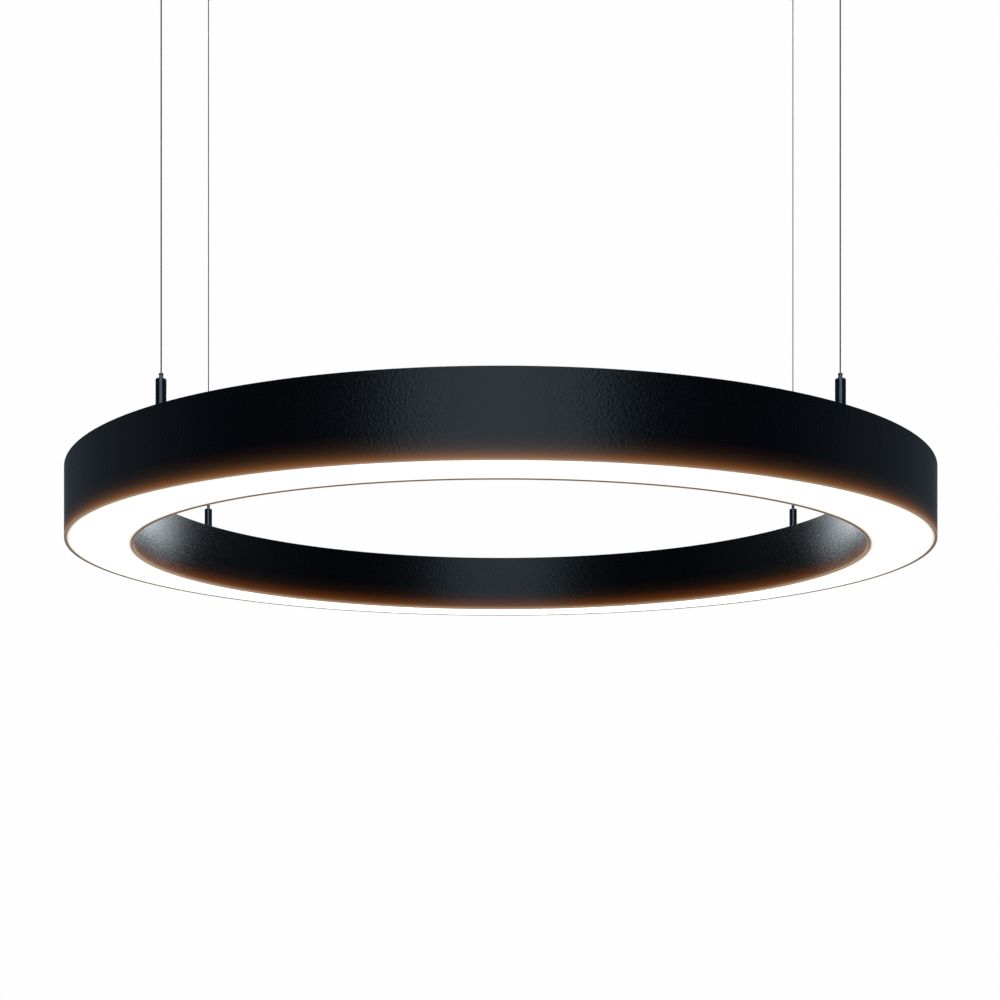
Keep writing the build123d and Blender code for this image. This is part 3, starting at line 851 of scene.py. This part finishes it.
# Leads. Flat twin cable in a pale flexible sheath, soft at its edges: from the terminal block along the
# web to each driver, and from each driver down through the web to the boards.
lead_sheath = moulded(
    "pale_sheath",
    dark=(0.66, 0.66, 0.63),
    light=(0.74, 0.74, 0.71),
    roughness=0.5,
    grain=900.0,
    depth=0.00003,
)
for side in ("right", "left"):
    for run in ("supply_lead", "light_lead"):
        lead = recut(f"{run}_{side}", f"sheathed_{run}_{side}", edge=0.0008, segments=3)
        dress(lead, lead_sheath, "ring")
        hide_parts(f"{run}_{side}")

# Terminal block. Moulded in pale plastic and screwed down on the web under the cable inlet. Each of its
# three poles stands up as a clamp, open at the top for its screw.
POLES = 3
BLOCK_TOP = WEB_TOP_Z + 0.016
BLOCK_LENGTH = 0.044
POLE_PITCH = BLOCK_LENGTH / POLES
CLAMP_HOLE_R = 0.0022
CLAMP_HOLE_DEPTH = 0.0025
terminal_plastic = moulded(
    "pale_moulding",
    dark=(0.66, 0.65, 0.61),
    light=(0.73, 0.72, 0.68),
    roughness=0.4,
    grain=1500.0,
    depth=0.00002,
)
terminal = recut("terminal_block", "moulded_terminal_block", edge=0.0005)
for pole in range(POLES):
    across = (pole - (POLES - 1) / 2) * POLE_PITCH
    middle = (across, CHANNEL_MID_R, BLOCK_TOP)
    drilled(terminal, CLAMP_HOLE_R, middle, 2 * CLAMP_HOLE_DEPTH)
smoothed(terminal)
dress(terminal, terminal_plastic, "ring")
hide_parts("terminal_block")

# Bridges and seam bars. Laser-cut steel bars, zinc plated, pulled up under the housing's ledges: four
# bridges carry the hangers, and five seam bars join the covers' ends.
for corner in HANGERS:
    bridge = recut(f"bridge_{corner}", f"plated_bridge_{corner}", edge=0.0003)
    dress(bridge, zinc_steel, "ring")
    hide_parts(f"bridge_{corner}")
bars = recut("seam_bars", "plated_seam_bars", edge=0.0003)
dress(bars, zinc_steel, "ring")
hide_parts("seam_bars")

# Covers. Flat arcs of aluminium in the housing's own black coat, laid on its ledges and flush with its
# top. Their ends are notched round the seam screws, and the short rear one holds the cable grommet.
for node in (*(f"cover_{corner}" for corner in HANGERS), "connection_cover"):
    cover = recut(node, f"coated_{node}", edge=0.00025)
    dress(cover, black_coat, "ring")
    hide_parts(node)

# Seam screws. Blackened pan-head screws with a hexagon socket, down between two covers' ends into the
# bar under them.
SCREW_TOP_R = 0.003
SCREW_TOP_H = 0.0016
SCREW_R = 0.00145
SCREW_LOW = -0.009
SCREW_TIP_R = 0.0010
SCREW_THREAD_TOP = -0.001
SCREW_PITCH = 0.0005
SCREW_STEPS = 48
SOCKET_R = 0.00115
SOCKET_SIDES = 6
SOCKET_DEPTH = 0.0009
SCREW_OUTLINE = (
    (SCREW_TIP_R, SCREW_LOW),
    *threaded(SCREW_R, SCREW_LOW + BROKEN_EDGE, SCREW_THREAD_TOP, SCREW_PITCH),
    (SCREW_R, -0.0002),
    (SCREW_R, 0.0),
    (SCREW_TOP_R - 0.0001, 0.0),
    (SCREW_TOP_R, 0.0001),
    (SCREW_TOP_R, 0.0007),
    (SCREW_TOP_R - 0.0002, 0.0011),
    (SCREW_TOP_R - 0.0006, 0.00145),
    (SCREW_TOP_R - 0.0011, SCREW_TOP_H),
)
SEAM_ANGLES = [radians(angle) for angle in (-90.0, -8.0, 82.0, 98.0, 188.0)]
screw = turned("screw", raised(SCREW_OUTLINE, RING_TOP_Z), SCREW_STEPS, solid=True)
middle = (0.0, 0.0, RING_TOP_Z + SCREW_TOP_H)
drilled(screw, SOCKET_R, middle, 2 * SOCKET_DEPTH, SOCKET_SIDES)
smoothed(screw)
screws = []
for angle in SEAM_ANGLES:
    place = (CHANNEL_MID_R * cos(angle), CHANNEL_MID_R * sin(angle), 0.0)
    screws.append(copied(screw, "screw_at_seam", place, angle))
bpy.data.objects.remove(screw)
screws = joined(screws, "socket_screws")
black_oxide = metal(
    "black_oxide",
    dark=(0.018, 0.018, 0.020),
    light=(0.045, 0.045, 0.048),
    roughness=0.30,
    grain=1500.0,
)
dress(screws, black_oxide, "ring")
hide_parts("seam_screws")

# Cable grommet. A ring of black rubber snapped into the rear cover, grooved round the cover's edge, with
# soft rounded lips. The supply cord comes in through it.
INLET_R = 0.00375
SEAT_R = 0.0055
LIP_R = 0.008
LIP_H = 0.0016
COVER_T = 0.002
GROMMET_STEPS = 64
GROMMET_OUTLINE = (
    (INLET_R + 0.0004, -COVER_T - LIP_H),
    (LIP_R - 0.0006, -COVER_T - LIP_H),
    (LIP_R - 0.0002, -COVER_T - LIP_H + 0.0002),
    (LIP_R, -COVER_T - LIP_H + 0.0006),
    (LIP_R, -COVER_T),
    (SEAT_R, -COVER_T),
    (SEAT_R, 0.0),
    (LIP_R, 0.0),
    (LIP_R - 0.0001, 0.0004),
    (LIP_R - 0.0005, 0.0010),
    (LIP_R - 0.0012, 0.0014),
    (LIP_R - 0.0020, LIP_H),
    (INLET_R + 0.0008, LIP_H),
    (INLET_R + 0.0003, LIP_H - 0.0002),
    (INLET_R, LIP_H - 0.0007),
    (INLET_R, -COVER_T - LIP_H + 0.0004),
)
grommet = turned("grommet", raised(GROMMET_OUTLINE, RING_TOP_Z), GROMMET_STEPS)
grommet_at_rear = copied(smoothed(grommet, edge=50.0), "rubber_grommet", (0.0, CHANNEL_MID_R, 0.0))
bpy.data.objects.remove(grommet)
black_rubber = moulded(
    "black_rubber",
    dark=(0.010, 0.010, 0.011),
    light=(0.020, 0.020, 0.021),
    roughness=0.6,
    grain=2200.0,
    depth=0.00003,
)
dress(grommet_at_rear, black_rubber, "ring")
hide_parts("cable_grommet")

# Gripper nuts. Thin hexagon nuts in zinc plated steel, one under each bridge, where they pull the
# gripper's stud down through cover and bridge.
nuts = recut("gripper_nuts", "hexagon_nuts", edge=0.0004)
dress(nuts, zinc_steel, "ring")
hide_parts("gripper_nuts")

# Gripper barrels. Turned brass, dark nickel plated: a plain barrel on a hollow threaded stud, with a
# guide for the release tube at its top, a taper that closes the jaws, and a chamber for the spring.
BARREL_R = 0.00475
BARREL_H = 0.032
STUD_LOW = -0.0142
STUD_R = 0.004
STUD_THREAD_TOP = -0.0045
STUD_PITCH = 0.00075
GUIDE_TOP = BARREL_H + 0.0015
GUIDE_R = 0.00175
TAPER_TOP = 0.022
TAPER_LOW = 0.012
TAPER_TOP_R = 0.00245
TAPER_LOW_R = 0.0032
SPRING_FLOOR = 0.004
WIRE_BORE_R = 0.0012
BARREL_OUTLINE = (
    (WIRE_BORE_R, STUD_LOW),
    *threaded(STUD_R, STUD_LOW, STUD_THREAD_TOP, STUD_PITCH),
    (STUD_R, STUD_THREAD_TOP),
    (STUD_R, 0.0),
    (BARREL_R - 0.00025, 0.0),
    (BARREL_R, 0.00025),
    (BARREL_R, BARREL_H - 0.0006),
    (0.00457, BARREL_H - 0.00018),
    (0.00415, BARREL_H),
    (0.0033, BARREL_H),
    (0.0027, BARREL_H + 0.00022),
    (0.0023, BARREL_H + 0.0007),
    (0.0021, GUIDE_TOP),
    (GUIDE_R, GUIDE_TOP),
    (GUIDE_R, TAPER_TOP),
    (TAPER_TOP_R, TAPER_TOP),
    (TAPER_LOW_R, TAPER_LOW),
    (TAPER_LOW_R, SPRING_FLOOR),
    (WIRE_BORE_R, SPRING_FLOOR),
)
barrel = smoothed(turned("barrel", raised(BARREL_OUTLINE, RING_TOP_Z)))
for corner, barrel_there in at_hangers(barrel, "turned_barrel").items():
    dress(barrel_there, dark_nickel, "ring")
    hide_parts(f"gripper_barrel_{corner}")

# Gripper springs. Coils of bright spring wire under the jaws, closed at both ends.
SPRING_WIRE_R = 0.00025
SPRING_R = 0.0031 - SPRING_WIRE_R
SPRING_LENGTH = TAPER_LOW - SPRING_FLOOR
SPRING_LOW_Z = RING_TOP_Z + SPRING_FLOOR
SPRING_TURNS = 6
SPRING_SIDES = 10
STEPS_A_TURN = 24
deselect()
bpy.ops.mesh.primitive_circle_add(
    vertices=SPRING_SIDES,
    radius=SPRING_WIRE_R,
    location=(SPRING_R, 0.0, SPRING_LOW_Z + SPRING_WIRE_R),
    rotation=(pi / 2, 0.0, 0.0),
)
spring = bpy.context.object
bpy.ops.object.transform_apply(location=True, rotation=True, scale=False)
coil = spring.modifiers.new("coil", "SCREW")
coil.axis = "Z"
coil.angle = tau * SPRING_TURNS
coil.screw_offset = SPRING_LENGTH - 2 * SPRING_WIRE_R
coil.steps = STEPS_A_TURN * SPRING_TURNS
coil.render_steps = coil.steps
bpy.ops.object.modifier_apply(modifier=coil.name)
bpy.ops.object.mode_set(mode="EDIT")
closed_up(capped=True)
spring_steel = metal(
    "bright_spring_steel",
    dark=(0.40, 0.41, 0.43),
    light=(0.52, 0.53, 0.55),
    roughness=0.2,
    grain=3000.0,
)
for corner, coil_there in at_hangers(smoothed(spring, edge=60.0), "coiled_spring").items():
    place = hanger_place(corner)[0]
    dress(coil_there, spring_steel, "ring")
    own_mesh(coil_there)
    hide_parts(f"grip_spring_{corner}")

# Gripper jaws. Three brass wedges round each wire, sawn from one turned cone, which the lamp's weight
# draws tighter into the barrel's taper.
jaw_brass = metal(
    "turned_brass",
    dark=(0.50, 0.33, 0.11),
    light=(0.62, 0.43, 0.17),
    roughness=0.26,
    grain=2500.0,
)
for corner in HANGERS:
    jaws = recut(f"grip_jaws_{corner}", f"brass_jaws_{corner}", edge=0.00008, segments=1)
    dress(jaws, jaw_brass, f"plunger_{corner}")
    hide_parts(f"grip_jaws_{corner}")

# Release plungers. Nickel plated brass tubes round the wires: a head that is pressed with a finger,
# a stem through the barrel's guide, and a foot that pushes the jaws down.
HEAD_LOW = 0.0352
HEAD_TOP = 0.0370
FOOT_TOP = 0.02195
FOOT_LOW = FOOT_TOP - 0.001
FOOT_R = 0.00235
STEM_R = 0.0017
HEAD_R = 0.0021
PLUNGER_BORE_R = 0.0008
PLUNGER_STEPS = 64
PLUNGER_OUTLINE = (
    (PLUNGER_BORE_R, FOOT_LOW),
    (FOOT_R, FOOT_LOW),
    (FOOT_R, FOOT_TOP),
    (STEM_R, FOOT_TOP),
    (STEM_R, HEAD_LOW),
    (HEAD_R - 0.0002, HEAD_LOW),
    (HEAD_R, HEAD_LOW + 0.0002),
    (HEAD_R, HEAD_TOP - 0.0006),
    (HEAD_R - 0.00015, HEAD_TOP - 0.0002),
    (HEAD_R - 0.0005, HEAD_TOP),
    (PLUNGER_BORE_R + 0.0002, HEAD_TOP),
    (PLUNGER_BORE_R, HEAD_TOP - 0.0002),
)
bright_nickel = metal(
    "bright_nickel_plate",
    dark=(0.16, 0.175, 0.195),
    light=(0.24, 0.255, 0.275),
    roughness=0.2,
    grain=2500.0,
)
plunger = smoothed(turned("plunger", raised(PLUNGER_OUTLINE, RING_TOP_Z), PLUNGER_STEPS))
for corner, tube in at_hangers(plunger, "release_tube").items():
    dress(tube, bright_nickel, f"plunger_{corner}")
    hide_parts(f"release_plunger_{corner}")

# Studio. A wide softbox hangs behind the camera, a mild one overhead and a narrow one behind the lamp,
# and the surroundings are white to the eye. What is glossy mirrors a dim blue room round it at the
# lamp's height, as in the photograph, and white overhead and straight behind the lamp.
LAMP_MIDDLE = Vector((0.0, 0.0, -0.73))
ROOM_WHITE = (0.991, 0.991, 0.991)
ROOM_DIFFUSE = (0.55, 0.55, 0.55)
MIRRORED_FRONT = (0.006, 0.016, 0.040)
MIRRORED_BACK = (0.07, 0.092, 0.120)


def softbox(name, width, height, watts, colour, place):
    """A soft light of a size, turned to face the lamp, which the camera doesn't see."""
    data = bpy.data.lights.new(name, "AREA")
    data.shape = "RECTANGLE"
    data.size = width
    data.size_y = height
    data.energy = watts
    data.color = colour
    light = bpy.data.objects.new(name, data)
    light.location = place
    light.rotation_euler = (LAMP_MIDDLE - light.location).to_track_quat("-Z", "Y").to_euler()
    light.visible_camera = False
    bpy.context.scene.collection.objects.link(light)
    return light


softbox(
    "front_softbox",
    width=2.6,
    height=2.6,
    watts=23.0,
    colour=(0.66, 0.87, 1.0),
    place=(0.0, -3.2, 0.0),
)
softbox(
    "top_softbox",
    width=2.0,
    height=2.0,
    watts=12.0,
    colour=(1.0, 1.0, 1.0),
    place=(0.6, 0.8, 2.2),
)
rear_softbox = softbox(
    "rear_softbox",
    width=1.0,
    height=1.03,
    watts=10.8,
    colour=(0.84, 0.93, 1.0),
    place=(0.0, 1.15, -0.50),
)
rear_softbox.rotation_euler = (pi / 2, 0.0, pi)


class Surroundings(Finish):
    """The world's nodes, added in the same way as a material's."""

    def __init__(self, name):
        self.world = bpy.data.worlds.new(name)
        self.world.use_nodes = True
        self.nodes = self.world.node_tree.nodes
        self.links = self.world.node_tree.links
        self.shader = self.nodes["Background"]

    def heading(self, axis):
        direction = self.node("ShaderNodeTexCoord", {}, {}, "Generated")
        return self.node("ShaderNodeSeparateXYZ", {}, {"Vector": direction}, axis)

    def ray(self, kind):
        return self.node("ShaderNodeLightPath", {}, {}, kind)


room = Surroundings("studio")
to_the_back = room.eased(room.heading("Y"), -0.40, 0.22)
straight_behind = room.eased(room.heading("Y"), 0.86, 0.96)
overhead = room.eased(room.heading("Z"), 0.6, 0.9)
mirrored = room.mixed(to_the_back, MIRRORED_FRONT, MIRRORED_BACK)
mirrored = room.mixed(straight_behind, mirrored, ROOM_WHITE)
mirrored = room.mixed(overhead, mirrored, ROOM_WHITE)
unseen = room.mixed(room.ray("Is Glossy Ray"), ROOM_DIFFUSE, mirrored)
by_eye = room.ray("Is Camera Ray") + room.ray("Is Transmission Ray")
room.vary("Color", room.mixed(by_eye, unseen, ROOM_WHITE))
bpy.context.scene.world = room.world
bpy.context.scene.view_settings.view_transform = "Standard"

# Floor. A pale disc well under the lamp, which takes its soft shadow; it fades to the white of the
# surroundings at its rim and lies below the photograph's frame.
FLOOR_Z = -2.6
FLOOR_R = 6.0
FLOOR_SIDES = 128
PLAIN_R = 1.5
FADED_R = 5.4
deselect()
bpy.ops.mesh.primitive_circle_add(
    vertices=FLOOR_SIDES,
    radius=FLOOR_R,
    fill_type="NGON",
    location=(0.0, 0.0, FLOOR_Z),
)
floor = bpy.context.object
floor.name = "floor"
bpy.ops.object.transform_apply(location=True, rotation=False, scale=False)
floor_coat = Finish("pale_floor", Roughness=0.9, Emission_Strength=1.0, Specular_IOR_Level=0.0)
faded = floor_coat.eased(floor_coat.radius(), PLAIN_R, FADED_R)
pale = floor_coat.mixed(floor_coat.noise(3.0), (0.86, 0.86, 0.86), (0.88, 0.88, 0.88))
floor_coat.vary("Base Color", floor_coat.mixed(faded, pale, (0.0, 0.0, 0.0)))
by_eye = floor_coat.node("ShaderNodeLightPath", {}, {}, "Is Camera Ray")
floor_coat.vary("Emission Color", floor_coat.mixed(faded * by_eye, NO_GLOW, ROOM_WHITE))
floor.data.materials.append(floor_coat.material)
